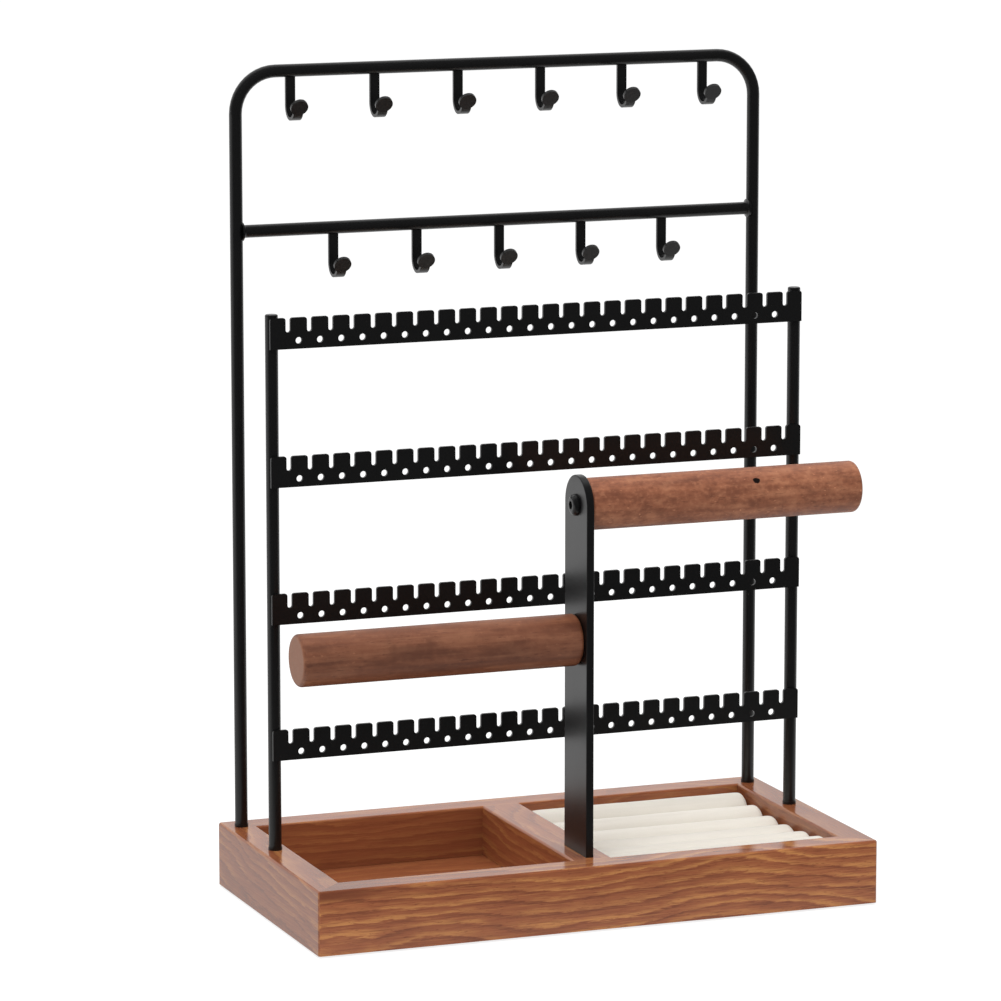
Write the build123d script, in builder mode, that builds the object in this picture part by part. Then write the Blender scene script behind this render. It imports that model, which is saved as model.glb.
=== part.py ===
"""Jewellery stand: a wooden tray base, a necklace frame, an earring rack and two bracelet bars.

Lengths are in millimetres. X runs to the right, Y to the back and Z up. The origin lies on the
surface that the stand rests on, under the middle of the base.
"""
import os

from build123d import *

os.makedirs("parts", exist_ok=True)

# Fits and cuts
overrun = 1.0               # how far a cut runs past the face that it leaves
wood_gap = 0.15             # play round a glued or grooved wood joint
thread_gap = 0.05           # play between a screw and the hole that holds its thread
bolt_gap = 0.2              # play between a screw and a plain hole
pivot_gap = 0.07            # play between a bar's screw and its hole in the post

# Base: mitred rails round two trays, with a wide divider between them
base_width = 300.0
base_depth = 158.0
rail_height = 32.5
rail_thickness = 16.0
divider_width = 21.0
edge_radius = 1.2           # rounded top edges
corner_radius = 1.6         # rounded outer corners
floor_thickness = 4.0
floor_lift = 2.5            # underside of the rails to the underside of a tray's floor
floor_groove_depth = 3.0
tenon_length = 6.0
tenon_thickness = 9.0
tenon_height = 14.0
tenon_lift = 11.0           # underside of the rails to the underside of a tenon
pad_diameter = 8.0
pad_thickness = 1.0
pad_inset = 26.0            # end of a rail to the middle of its pad
pad_setback = 11.0          # outside of a rail to the middle of its pad

# Rods, and the screws that hold their feet
rod_diameter = 6.5
leg_inset = 8.5             # end of the base to the middle of a rod
washer_diameter = 7.0
washer_thickness = 1.5
leg_screw_diameter = 3.0
leg_screw_head_diameter = 5.6
leg_screw_head_height = 2.4
leg_screw_key = 2.5         # hexagon across its flats
leg_screw_key_depth = 1.3
leg_screw_seat_depth = 14.0
leg_screw_seat_diameter = 6.4
leg_screw_reach = 10.0      # how far a screw goes into its rod
leg_screw_spare = 2.0       # empty hole past a screw's tip

# Necklace frame
frame_inset = 12.7          # back of the base to the middle of the frame's rods
frame_bend_radius = 21.0
crossbar_rise = 306.7       # top of the base to the middle of the crossbar
row_pitch = 80.3            # middle of the crossbar to the middle of the top bar
weld_radius = 1.5
weld_lap = 0.9              # how far a weld reaches round the frame's leg

# Necklace hooks: flat strips bent to a J, with a round end
hook_width = 5.0
hook_thickness = 1.6
hook_drop = 21.3            # underside of the bar to the underside of the hook
hook_bend_radius = 6.5      # to the middle of the strip
hook_bend_angle = 148.0
hook_lip = 4.0              # end of the bend to the middle of the round end
hook_disc_diameter = 9.0
hook_inset = 29.0           # middle of a leg to the middle of the first upper hook
upper_hook_count = 6
lower_hook_count = 5

# Earring rack: notched strips on the front of two posts
rack_inset = 66.8           # back of the base to the middle of the rack's posts
strip_count = 4
strip_pitch = 69.4
strip_rise = 46.5           # top of the base to the underside of the lowest strip
strip_height = 15.7
strip_thickness = 1.5
strip_end_inset = 1.0       # outer side of a post to the end of a strip
slot_count = 25
slot_inset = 9.35           # end of a strip to the middle of its first slot
slot_width = 2.5
slot_depth = 7.3
tooth_radius = 1.3
ear_hole_diameter = 3.3
ear_hole_rise = 4.2         # underside of a strip to the middle of its holes
post_end_rise = 1.5         # top of the highest strip to the top of the posts
post_end_radius = 0.8

# Bracelet holder: a flat post through the divider, with a bar on each side
post_width = 30.0
post_thickness = 4.0
post_edge_radius = 0.6
post_inset = 33.5           # front of the base to the middle of the post
post_foot_width = 14.0
post_foot_thickness = 3.0
post_foot_recess = 3.4
foot_screw_diameter = 2.5
foot_screw_length = 14.0
foot_screw_head_diameter = 4.6
foot_screw_head_height = 1.2
foot_screw_spacing_x = 8.6
foot_screw_spacing_y = 18.0
upper_bar_rise = 176.9      # top of the base to the axis of the upper bar
lower_bar_rise = 108.6
bar_diameter = 26.2
bar_length = 147.5
bar_edge_radius = 2.2
bar_screw_diameter = 6.0
bar_screw_length = 18.0
bar_screw_head_diameter = 11.0
bar_screw_head_height = 2.9
bar_screw_head_radius = 2.6
bar_screw_key = 4.0
bar_screw_key_depth = 1.7
insert_diameter = 9.0
insert_length = 15.0
insert_spare = 2.0          # empty hole past the insert

# Ring cushion: padded rolls on a board, loose in the right tray
cushion_gap = 0.6           # play round the cushion
board_thickness = 2.5
roll_count = 6
roll_gap = 0.4
crest_drop = 1.7            # top of the base to the top of the first and the last roll
crest_sag = 3.6             # how much lower the rolls would be in the very middle
roll_end_length = 4.0       # length over which a roll's end is drawn in
roll_end_place_shares = (0.0, 0.35, 1.0)
roll_end_size_shares = (0.82, 0.95, 1.0)
roll_foot_share = 0.82      # width of a roll's foot to its widest

# Levels and places that follow
base_bottom = pad_thickness
base_top = base_bottom + rail_height
inner_width = base_width - 2 * rail_thickness
inner_depth = base_depth - 2 * rail_thickness
tray_width = (inner_width - divider_width) / 2
tray_middle = (inner_width + divider_width) / 4
floor_bottom = base_bottom + floor_lift
floor_top = floor_bottom + floor_thickness
rod_radius = rod_diameter / 2
leg_x = base_width / 2 - leg_inset
frame_y = base_depth / 2 - frame_inset
rack_y = base_depth / 2 - rack_inset
post_y = post_inset - base_depth / 2
rod_foot = base_top + washer_thickness
crossbar_z = base_top + crossbar_rise
frame_top = crossbar_z + row_pitch
hook_pitch = 2 * (leg_x - hook_inset) / (upper_hook_count - 1)
strip_length = 2 * leg_x + rod_diameter - 2 * strip_end_inset
slot_pitch = (strip_length - 2 * slot_inset) / (slot_count - 1)
highest_strip_top = base_top + strip_rise + (strip_count - 1) * strip_pitch + strip_height
leg_screw_seat = base_bottom + leg_screw_seat_depth
leg_places = [(x, y) for x in (-leg_x, leg_x) for y in (frame_y, rack_y)]
post_foot_top = base_bottom + post_foot_recess
post_foot_bottom = post_foot_top - post_foot_thickness
foot_screw_places = [
    (-foot_screw_spacing_x / 2, post_y - foot_screw_spacing_y / 2),
    (foot_screw_spacing_x / 2, post_y + foot_screw_spacing_y / 2),
]
foot_head_middle = post_foot_bottom + foot_screw_head_height / 2
foot_head_places = [Pos(x, y, foot_head_middle) for x, y in foot_screw_places]


def save(piece, name):
    """Label a finished piece and write it to its own file."""
    piece.part.label = name
    export_step(piece.part, f"parts/{name}.step")


# The base as one blank, from which the rails and the divider are cut, so that their tops are flush
with BuildPart() as base_blank:
    with BuildSketch(Plane.XY.offset(base_bottom)):
        Rectangle(base_width, base_depth)
        with Locations((-tray_middle, 0), (tray_middle, 0)):
            Rectangle(tray_width, inner_depth, mode=Mode.SUBTRACT)
    extrude(amount=rail_height)
    outer_corners = base_blank.edges().filter_by(Axis.Z).group_by(lambda edge: abs(edge.center().X))[-1]
    fillet(outer_corners, radius=corner_radius)
    fillet(base_blank.faces().sort_by(Axis.Z)[-1].edges(), radius=edge_radius)
    # Grooves for the floors
    with BuildSketch(Plane.XY.offset(floor_bottom - wood_gap)):
        with Locations((-tray_middle, 0), (tray_middle, 0)):
            Rectangle(tray_width + 2 * floor_groove_depth, inner_depth + 2 * floor_groove_depth)
    extrude(amount=floor_thickness + 2 * wood_gap, mode=Mode.SUBTRACT)
    # Screw holes under the rods, with a deep seat for each head
    with BuildSketch(Plane.XY.offset(base_bottom)):
        with Locations(leg_places):
            Circle(leg_screw_seat_diameter / 2)
    extrude(amount=leg_screw_seat_depth, mode=Mode.SUBTRACT)
    with BuildSketch(Plane.XY.offset(base_bottom)):
        with Locations(leg_places):
            Circle(leg_screw_diameter / 2 + bolt_gap)
    extrude(amount=rail_height + overrun, mode=Mode.SUBTRACT)


def rail(name, outline):
    """One mitred rail: the blank inside an outline, less the sockets of the divider's tenons."""
    with BuildPart() as piece:
        add(base_blank.part)
        with BuildSketch(Plane.XY):
            with BuildLine():
                Polyline(*outline, close=True)
            make_face()
        extrude(amount=base_top + overrun, mode=Mode.INTERSECT)
        with BuildSketch(Plane.XY.offset(base_bottom + tenon_lift - wood_gap)):
            Rectangle(tenon_thickness + 2 * wood_gap, inner_depth + 2 * (tenon_length + wood_gap))
        extrude(amount=tenon_height + 2 * wood_gap, mode=Mode.SUBTRACT)
    save(piece, name)


outer_x, outer_y = base_width / 2, base_depth / 2
inner_x, inner_y = inner_width / 2, inner_depth / 2
for side, name in ((-1, "base_front_rail"), (1, "base_back_rail")):
    ends = (-outer_x, side * outer_y), (outer_x, side * outer_y)
    rail(name, (*ends, (inner_x, side * inner_y), (-inner_x, side * inner_y)))
for side, name in ((-1, "base_left_rail"), (1, "base_right_rail")):
    ends = (side * outer_x, -outer_y), (side * outer_x, outer_y)
    rail(name, (*ends, (side * inner_x, inner_y), (side * inner_x, -inner_y)))

with BuildPart() as base_divider:
    add(base_blank.part)
    with BuildSketch(Plane.XY):
        Rectangle(divider_width, inner_depth)
    extrude(amount=base_top + overrun, mode=Mode.INTERSECT)
    with BuildSketch(Plane.XY.offset(base_bottom + tenon_lift)):
        Rectangle(tenon_thickness, inner_depth + 2 * tenon_length)
    extrude(amount=tenon_height)
    # Slot for the post, recess for its foot and holes for the foot's screws
    with BuildSketch(Plane.XY.offset(base_bottom)):
        with Locations((0, post_y)):
            Rectangle(post_thickness + 2 * wood_gap, post_width + 2 * wood_gap)
    extrude(amount=rail_height + overrun, mode=Mode.SUBTRACT)
    with BuildSketch(Plane.XY.offset(base_bottom)):
        with Locations((0, post_y)):
            Rectangle(post_foot_width + 2 * wood_gap, post_width + 2 * wood_gap)
    extrude(amount=post_foot_recess, mode=Mode.SUBTRACT)
    with BuildSketch(Plane.XY.offset(post_foot_bottom)):
        with Locations(foot_screw_places):
            Circle(foot_screw_diameter / 2 + thread_gap)
    extrude(amount=foot_screw_length + wood_gap, mode=Mode.SUBTRACT)
save(base_divider, "base_divider")

for side, name in ((-1, "tray_floor_left"), (1, "tray_floor_right")):
    with BuildPart() as tray_floor:
        with BuildSketch(Plane.XY.offset(floor_bottom)):
            with Locations((side * tray_middle, 0)):
                tongue = 2 * (floor_groove_depth - wood_gap)
                Rectangle(tray_width + tongue, inner_depth + tongue)
        extrude(amount=floor_thickness)
    save(tray_floor, name)

with BuildPart() as base_pads:
    with BuildSketch(Plane.XY):
        with GridLocations(base_width - 2 * pad_inset, base_depth - 2 * pad_setback, 2, 2):
            Circle(pad_diameter / 2)
    extrude(amount=pad_thickness)
save(base_pads, "base_pads")

# Feet of the rods
with BuildPart() as leg_washers:
    with BuildSketch(Plane.XY.offset(base_top)):
        with Locations(leg_places):
            Circle(washer_diameter / 2)
            Circle(leg_screw_diameter / 2 + bolt_gap, mode=Mode.SUBTRACT)
    extrude(amount=washer_thickness)
save(leg_washers, "leg_washers")

with BuildPart() as leg_screws:
    with BuildSketch(Plane.XY.offset(leg_screw_seat - leg_screw_head_height)):
        with Locations(leg_places):
            Circle(leg_screw_head_diameter / 2)
    extrude(amount=leg_screw_head_height)
    with BuildSketch(Plane.XY.offset(leg_screw_seat - leg_screw_head_height)):
        with Locations(leg_places):
            Circle(leg_screw_diameter / 2)
    extrude(amount=rod_foot + leg_screw_reach - leg_screw_seat + leg_screw_head_height)
    with BuildSketch(Plane.XY.offset(leg_screw_seat - leg_screw_head_height)):
        with Locations(leg_places):
            RegularPolygon(leg_screw_key / 2, 6, major_radius=False)
    extrude(amount=leg_screw_key_depth, mode=Mode.SUBTRACT)
save(leg_screws, "leg_screws")


# The threaded holes in the rods' feet, cut from each rod below
with BuildPart() as foot_threads:
    with BuildSketch(Plane.XY.offset(rod_foot)):
        with Locations(leg_places):
            Circle(leg_screw_diameter / 2 + thread_gap)
    extrude(amount=leg_screw_reach + leg_screw_spare)

# Necklace frame: one bent rod, and a crossbar coped and welded between its legs
frame_plane = Plane.XZ.offset(-frame_y)
with BuildPart() as back_frame:
    with BuildLine(frame_plane) as frame_line:
        FilletPolyline(
            (-leg_x, rod_foot), (-leg_x, frame_top), (leg_x, frame_top), (leg_x, rod_foot),
            radius=frame_bend_radius,
        )
    with BuildSketch(Plane.XY.offset(rod_foot)):
        with Locations((-leg_x, frame_y)):
            Circle(rod_radius)
    sweep(path=frame_line.wires()[0])
    add(foot_threads.part, mode=Mode.SUBTRACT)
save(back_frame, "back_frame")

with BuildPart() as back_crossbar:
    weld_start = leg_x - rod_radius - weld_radius
    weld_end = leg_x - rod_radius + weld_lap
    with BuildSketch(frame_plane):
        with BuildLine():
            weld_middle = crossbar_z + rod_radius + weld_radius
            Line((-weld_end, crossbar_z), (weld_end, crossbar_z))
            Line((weld_end, crossbar_z), (weld_end, weld_middle))
            Line((weld_end, weld_middle), (weld_start + weld_radius, weld_middle))
            CenterArc((weld_start, weld_middle), weld_radius, 0, -90)
            Line((weld_start, crossbar_z + rod_radius), (-weld_start, crossbar_z + rod_radius))
            CenterArc((-weld_start, weld_middle), weld_radius, -90, -90)
            Line((-weld_start - weld_radius, weld_middle), (-weld_end, weld_middle))
            Line((-weld_end, weld_middle), (-weld_end, crossbar_z))
        make_face()
    revolve(axis=Axis((0, frame_y, crossbar_z), (1, 0, 0)))
    with BuildSketch(Plane.XY.offset(crossbar_z - rod_diameter)):
        with Locations((-leg_x, frame_y), (leg_x, frame_y)):
            Circle(rod_radius)
    extrude(amount=2 * rod_diameter, mode=Mode.SUBTRACT)
save(back_crossbar, "back_crossbar")


def necklace_hook(name, hook_x, bar_z):
    """A J-shaped strip under a bar, its top coped to the bar and its end a round disc."""
    bend_z = bar_z - rod_radius - hook_drop + hook_thickness / 2 + hook_bend_radius
    with BuildPart() as hook:
        with BuildLine(Plane.YZ.offset(hook_x)) as hook_line:
            Line((frame_y, bar_z), (frame_y, bend_z))
            bend = CenterArc((frame_y - hook_bend_radius, bend_z), hook_bend_radius, 0, -hook_bend_angle)
            PolarLine(bend @ 1, hook_lip, direction=bend % 1)
        path = hook_line.wires()[0]
        with BuildSketch(Plane(path @ 0, x_dir=(1, 0, 0), z_dir=path % 0)):
            Rectangle(hook_width, hook_thickness)
        sweep(path=path)
        with BuildSketch(Plane(path @ 1, x_dir=(1, 0, 0), z_dir=(path % 1).cross(Vector(1, 0, 0)))):
            Circle(hook_disc_diameter / 2)
        extrude(amount=hook_thickness / 2, both=True)
        with BuildSketch(Plane.YZ.offset(hook_x - hook_width)):
            with Locations((frame_y, bar_z)):
                Circle(rod_radius)
        extrude(amount=2 * hook_width, mode=Mode.SUBTRACT)
    save(hook, name)


hook_rows = (("upper", upper_hook_count, frame_top), ("lower", lower_hook_count, crossbar_z))
for row, count, bar_z in hook_rows:
    for i in range(count):
        necklace_hook(f"{row}_hook_{i + 1}", (i - (count - 1) / 2) * hook_pitch, bar_z)

# Earring rack: two posts, and the notched strips on the front of them
for side, name in ((-1, "rack_post_left"), (1, "rack_post_right")):
    with BuildPart() as rack_post:
        with BuildSketch(Plane.XY.offset(rod_foot)):
            with Locations((side * leg_x, rack_y)):
                Circle(rod_radius)
        extrude(amount=highest_strip_top + post_end_rise - rod_foot)
        fillet(rack_post.edges().sort_by(Axis.Z)[-1], radius=post_end_radius)
        add(foot_threads.part, mode=Mode.SUBTRACT)
    save(rack_post, name)

for i in range(strip_count):
    strip_bottom = highest_strip_top - strip_height - i * strip_pitch
    with BuildPart() as earring_strip:
        with BuildSketch(Plane.XZ.offset(rod_radius - rack_y)) as strip_face:
            with Locations((0, strip_bottom + strip_height / 2)):
                Rectangle(strip_length, strip_height)
            slot_top = strip_bottom + strip_height + overrun
            slot_round = strip_bottom + strip_height - slot_depth + slot_width / 2
            with Locations((0, (slot_top + slot_round) / 2)):
                with GridLocations(slot_pitch, 0, slot_count, 1):
                    Rectangle(slot_width, slot_top - slot_round, mode=Mode.SUBTRACT)
            tooth_corners = strip_face.vertices().group_by(Axis.Y)[-1]
            fillet(tooth_corners, radius=tooth_radius)
            with Locations((0, slot_round)):
                with GridLocations(slot_pitch, 0, slot_count, 1):
                    Circle(slot_width / 2, mode=Mode.SUBTRACT)
            with Locations((0, strip_bottom + ear_hole_rise)):
                with GridLocations(slot_pitch, 0, slot_count - 1, 1):
                    Circle(ear_hole_diameter / 2, mode=Mode.SUBTRACT)
        extrude(amount=strip_thickness)
    save(earring_strip, f"earring_strip_{i + 1}")

# Bracelet holder
with BuildPart() as bracelet_post:
    upper_axis = base_top + upper_bar_rise
    lower_axis = base_top + lower_bar_rise
    with BuildSketch(Plane.YZ):
        with Locations((post_y, (post_foot_bottom + upper_axis) / 2)):
            Rectangle(post_width, upper_axis - post_foot_bottom)
        with Locations((post_y, upper_axis)):
            Circle(post_width / 2)
    extrude(amount=post_thickness / 2, both=True)
    fillet(bracelet_post.faces().filter_by(Axis.X).edges(), radius=post_edge_radius)
    with BuildSketch(Plane.YZ):
        with Locations((post_y, upper_axis), (post_y, lower_axis)):
            Circle(bar_screw_diameter / 2 + pivot_gap)
    extrude(amount=post_thickness, both=True, mode=Mode.SUBTRACT)
    with BuildSketch(Plane.XY.offset(post_foot_bottom)):
        with Locations((0, post_y)):
            Rectangle(post_foot_width, post_width)
    extrude(amount=post_foot_thickness)
    with BuildSketch(Plane.XY.offset(post_foot_bottom)):
        with Locations(foot_screw_places):
            Circle(foot_screw_diameter / 2 + bolt_gap)
    extrude(amount=post_foot_thickness, mode=Mode.SUBTRACT)
    with Locations(foot_head_places):
        head_flare = (foot_screw_head_diameter - foot_screw_diameter) / 2
        Cone(
            foot_screw_head_diameter / 2 + bolt_gap,
            foot_screw_head_diameter / 2 + bolt_gap - head_flare,
            foot_screw_head_height,
            mode=Mode.SUBTRACT,
        )
save(bracelet_post, "bracelet_post")

with BuildPart() as post_foot_screws:
    with Locations(foot_head_places):
        Cone(foot_screw_head_diameter / 2, foot_screw_diameter / 2, foot_screw_head_height)
    with BuildSketch(Plane.XY.offset(post_foot_bottom + foot_screw_head_height)):
        with Locations(foot_screw_places):
            Circle(foot_screw_diameter / 2)
    extrude(amount=foot_screw_length - foot_screw_head_height)
save(post_foot_screws, "post_foot_screws")

for side, row, axis_z in ((1, "upper", upper_axis), (-1, "lower", lower_axis)):
    # The bar's own plane: its Z points from the post to the bar's free end
    seat = Plane((side * post_thickness / 2, post_y, axis_z), x_dir=(0, 1, 0), z_dir=(side, 0, 0))
    with BuildPart() as bracelet_bar:
        with BuildSketch(seat):
            Circle(bar_diameter / 2)
        extrude(amount=bar_length)
        fillet(bracelet_bar.edges().filter_by(GeomType.CIRCLE), radius=bar_edge_radius)
        with BuildSketch(seat):
            Circle(insert_diameter / 2 + thread_gap)
        extrude(amount=insert_length + insert_spare, mode=Mode.SUBTRACT)
    save(bracelet_bar, f"bracelet_bar_{row}")

    with BuildPart() as bar_insert:
        with BuildSketch(seat):
            Circle(insert_diameter / 2)
            Circle(bar_screw_diameter / 2 + thread_gap, mode=Mode.SUBTRACT)
        extrude(amount=insert_length)
    save(bar_insert, f"bar_insert_{row}")

    with BuildPart() as bar_screw:
        head_seat = seat.offset(-post_thickness)
        with BuildSketch(head_seat):
            Circle(bar_screw_head_diameter / 2)
        extrude(amount=-bar_screw_head_height)
        fillet(bar_screw.edges().sort_by(Axis(seat.origin, seat.z_dir))[0], radius=bar_screw_head_radius)
        with BuildSketch(head_seat.offset(-bar_screw_head_height)):
            RegularPolygon(bar_screw_key / 2, 6, major_radius=False)
        extrude(amount=bar_screw_key_depth, mode=Mode.SUBTRACT)
        with BuildSketch(head_seat):
            Circle(bar_screw_diameter / 2)
        extrude(amount=bar_screw_length)
    save(bar_screw, f"bar_screw_{row}")

# Ring cushion
cushion_width = tray_width - 2 * cushion_gap
cushion_depth = inner_depth - 2 * cushion_gap
with BuildPart() as ring_cushion_board:
    with BuildSketch(Plane.XY.offset(floor_top)):
        with Locations((tray_middle, 0)):
            Rectangle(cushion_width, cushion_depth)
    extrude(amount=board_thickness)
save(ring_cushion_board, "ring_cushion_board")

roll_bottom = floor_top + board_thickness
roll_pitch = cushion_depth / roll_count
roll_half = (roll_pitch - roll_gap) / 2


def roll_section(station_x, roll_y, roll_height, size_share):
    """Section of a roll at a size: a flat foot, swelling sides and a round crown."""
    half = roll_half * size_share
    height = roll_height * size_share
    foot = half * roll_foot_share
    shoulder = height - half
    section_plane = Plane((station_x, roll_y, roll_bottom), x_dir=(0, 1, 0), z_dir=(1, 0, 0))
    with BuildSketch(section_plane) as section:
        with BuildLine():
            Line((-foot, 0), (foot, 0))
            TangentArc((half, shoulder), (foot, 0), tangent=(0, -1))
            CenterArc((0, shoulder), half, 0, 90)
            CenterArc((0, shoulder), half, 90, 90)
            TangentArc((-half, shoulder), (-foot, 0), tangent=(0, -1))
        make_face()
    return section.sketch


roll_left = tray_middle - cushion_width / 2
roll_right = tray_middle + cushion_width / 2
roll_ends = list(zip(roll_end_place_shares, roll_end_size_shares))
roll_stations = [(roll_left + place * roll_end_length, size) for place, size in roll_ends]
roll_stations += [(roll_right - place * roll_end_length, size) for place, size in reversed(roll_ends)]
for i in range(roll_count):
    roll_y = ((roll_count - 1) / 2 - i) * roll_pitch
    outward_share = 2 * roll_y / (cushion_depth - roll_pitch)
    roll_height = base_top - crest_drop - crest_sag * (1 - outward_share**2) - roll_bottom
    with BuildPart() as ring_roll:
        sections = [roll_section(x, roll_y, roll_height, size_share) for x, size_share in roll_stations]
        loft(sections, ruled=True)
    save(ring_roll, f"ring_roll_{i + 1}")
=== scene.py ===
"""Jewellery stand: lacquered wood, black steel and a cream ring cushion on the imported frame.

Lengths are in metres. X runs to the right, Y to the back and Z up.
"""

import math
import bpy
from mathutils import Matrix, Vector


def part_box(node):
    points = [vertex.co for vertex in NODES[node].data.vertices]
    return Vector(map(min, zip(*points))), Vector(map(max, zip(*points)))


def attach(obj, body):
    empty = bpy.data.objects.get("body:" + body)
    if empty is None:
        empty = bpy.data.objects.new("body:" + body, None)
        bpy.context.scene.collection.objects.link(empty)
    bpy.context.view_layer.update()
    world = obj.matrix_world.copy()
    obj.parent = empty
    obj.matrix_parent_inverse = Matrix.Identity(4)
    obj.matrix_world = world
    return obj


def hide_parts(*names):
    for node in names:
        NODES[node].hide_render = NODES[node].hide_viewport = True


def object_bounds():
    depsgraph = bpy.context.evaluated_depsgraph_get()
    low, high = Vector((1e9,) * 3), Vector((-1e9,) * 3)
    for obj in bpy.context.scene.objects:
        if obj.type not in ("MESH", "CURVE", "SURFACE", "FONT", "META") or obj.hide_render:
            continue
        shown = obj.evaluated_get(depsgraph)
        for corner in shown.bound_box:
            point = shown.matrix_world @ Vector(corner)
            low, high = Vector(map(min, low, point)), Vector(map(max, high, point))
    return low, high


bl_info = {
    "name": "Jewellery stand",
    "version": (1, 0, 0),
    "blender": (4, 5, 0),
    "location": "View3D > Sidebar > Stand",
    "description": "Dresses a jewellery stand in lacquered wood, black steel and padded velvet",
    "category": "Object",
}

import bpy
from bpy.props import FloatProperty, FloatVectorProperty, IntProperty, PointerProperty
from mathutils import Matrix, Vector

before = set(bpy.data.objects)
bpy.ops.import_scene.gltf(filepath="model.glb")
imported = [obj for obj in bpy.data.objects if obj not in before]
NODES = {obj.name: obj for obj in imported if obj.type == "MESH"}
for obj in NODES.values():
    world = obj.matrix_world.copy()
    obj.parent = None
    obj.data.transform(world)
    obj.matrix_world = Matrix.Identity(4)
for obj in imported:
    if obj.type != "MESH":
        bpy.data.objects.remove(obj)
CAD_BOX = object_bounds()

RAILS = ("base_front_rail", "base_back_rail", "base_left_rail", "base_right_rail", "base_divider")
FLOORS = ("tray_floor_left", "tray_floor_right")
GRAIN_ALONG_Y = ("base_left_rail", "base_right_rail", "base_divider")
RAIL_FIGURES = {            # contrast of each rail's grain, as a share of the strongest
    "base_front_rail": 1.0,
    "base_back_rail": 0.5,
    "base_left_rail": 0.7,
    "base_right_rail": 0.5,
    "base_divider": 0.6,
}
FLOOR_FIGURE = 0.3          # contrast of the floors' grain
DARKER_AND_SHADED_TONES = {            # brightness of the darker rails; the right rail's is partly painted shade for the ring tray's inner wall
    "base_left_rail": 0.88,
    # partly painted shade: darker for the shaded inner wall of the ring tray
    "base_right_rail": 0.8,
}
FULL_TONE = 1.0             # brightness of the other boards
NECKLACE_FRAME = [name for name in NODES if name.startswith("back_") or "_hook_" in name]
EARRING_RACK = [name for name in NODES if name.startswith(("rack_", "earring_"))]
BARS = ("bracelet_bar_upper", "bracelet_bar_lower")
BAR_SCREWS = ("bar_screw_upper", "bar_screw_lower")
BAR_INSERTS = ("bar_insert_upper", "bar_insert_lower")
ROLLS = sorted(name for name in NODES if name.startswith("ring_roll_"))


def colour(name, description, default):
    """A colour property."""
    return FloatVectorProperty(
        name=name, description=description, subtype="COLOR", default=default, min=0.0, max=1.0,
    )


def place(name, description, default):
    """A property for a point, in metres."""
    return FloatVectorProperty(
        name=name, description=description, subtype="TRANSLATION", unit="LENGTH", default=default,
    )


def length(name, description, default):
    """A length property, in metres."""
    return FloatProperty(name=name, description=description, unit="LENGTH", default=default, precision=5)


def angle(name, description, degrees):
    """An angle property, with its default given in degrees."""
    return FloatProperty(name=name, description=description, subtype="ANGLE", default=math.radians(degrees))


def power(name, description, default):
    """A lamp's power property, in watts."""
    return FloatProperty(name=name, description=description, unit="POWER", default=default, min=0.0)


def share(name, description, default):
    """A property from 0 to 1."""
    return FloatProperty(
        name=name, description=description, subtype="FACTOR", default=default, min=0.0, max=1.0,
    )


class StandWood(bpy.types.PropertyGroup):
    """Tones, grain and lacquer of the base and of the bracelet bars."""

    light: colour("Light grain", "Early wood of the base", (0.56, 0.24, 0.08))
    middle: colour("Middle grain", "Body colour of the base", (0.345, 0.11, 0.046))
    dark: colour("Dark grain", "Late wood and pores of the base", (0.17, 0.05, 0.024))
    ring_width: length("Ring width", "Width of one year ring", 0.0064)
    ring_slope: share("Ring slope", "How far the rings rise across a board", 0.6)
    wave_length: length("Wave length", "Length of a wave of the grain", 0.15)
    wave_height: length("Wave height", "How far a wave moves the rings", 0.04)
    hill_place: length("Hill place", "Where the rings arch, to the right of the middle", 0.085)
    hill_reach: length("Hill reach", "Half the length of the arch", 0.07)
    hill_height: length("Hill height", "Height of the arch", 0.011)
    stain_place: length("Stain place", "Where a dark stain runs along the top, from the middle", -0.145)
    stain_reach: length("Stain reach", "Half the length of the stain", 0.055)
    stain_foot: length("Stain foot", "Height at which the stain starts", 0.026)
    stain_full: length("Stain full", "Height at which the stain is darkest", 0.0305)
    fibre_length: length("Fibre length", "Length of the fine streaks", 0.018)
    fibre_width: length("Fibre width", "Width of the fine streaks", 0.0006)
    lacquer: share("Lacquer", "Roughness of the base's lacquer", 0.13)
    bar_light: colour("Light bar", "Light streaks and flecks of the bars", (0.46, 0.19, 0.095))
    bar_middle: colour("Middle bar", "Body colour of the bars", (0.285, 0.095, 0.044))
    bar_dark: colour("Dark bar", "Pores and patches of the bars", (0.13, 0.038, 0.018))
    upper_tone: share("Upper tone", "Brightness of the upper bar's wood", 0.98)
    lower_tone: share("Lower tone", "Brightness of the lower bar's wood", 0.65)
    upper_mottle: share("Upper mottle", "How mottled the upper bar's wood is", 0.75)
    lower_mottle: share("Lower mottle", "How mottled the lower bar's wood is", 0.3)
    varnish: share("Varnish", "Roughness of the bars' varnish", 0.42)
    knot_along: share("Knot place", "How far along the upper bar its knot is", 0.607)
    knot_angle: angle("Knot angle", "How far up from the front the knot is", 38.5)
    knot_length: length("Knot length", "Length of the knot along the bar", 0.0042)
    knot_width: length("Knot width", "Width of the knot across the bar", 0.0031)
    heart_along: share("Heart place", "How far along the lower bar its dark heart wood is", 0.4)
    heart_angle: angle("Heart angle", "How far up from the front the heart wood is", 10.0)
    heart_length: length("Heart length", "Length of the heart wood along the bar", 0.045)
    heart_width: length("Heart width", "Width of the heart wood across the bar", 0.011)


class StandSteel(bpy.types.PropertyGroup):
    """Paint of the rods, strips, hooks and post."""

    paint: colour("Paint", "Black powder coat", (0.0035, 0.0035, 0.0037))
    gloss: share("Paint roughness", "Roughness of the powder coat", 0.25)
    peel: length("Peel", "Size of the coat's fine unevenness", 0.0012)
    peel_depth: length("Peel depth", "Depth of the coat's fine unevenness", 0.000006)
    cloud: length("Cloud", "Size of the coat's duller patches", 0.024)


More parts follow.
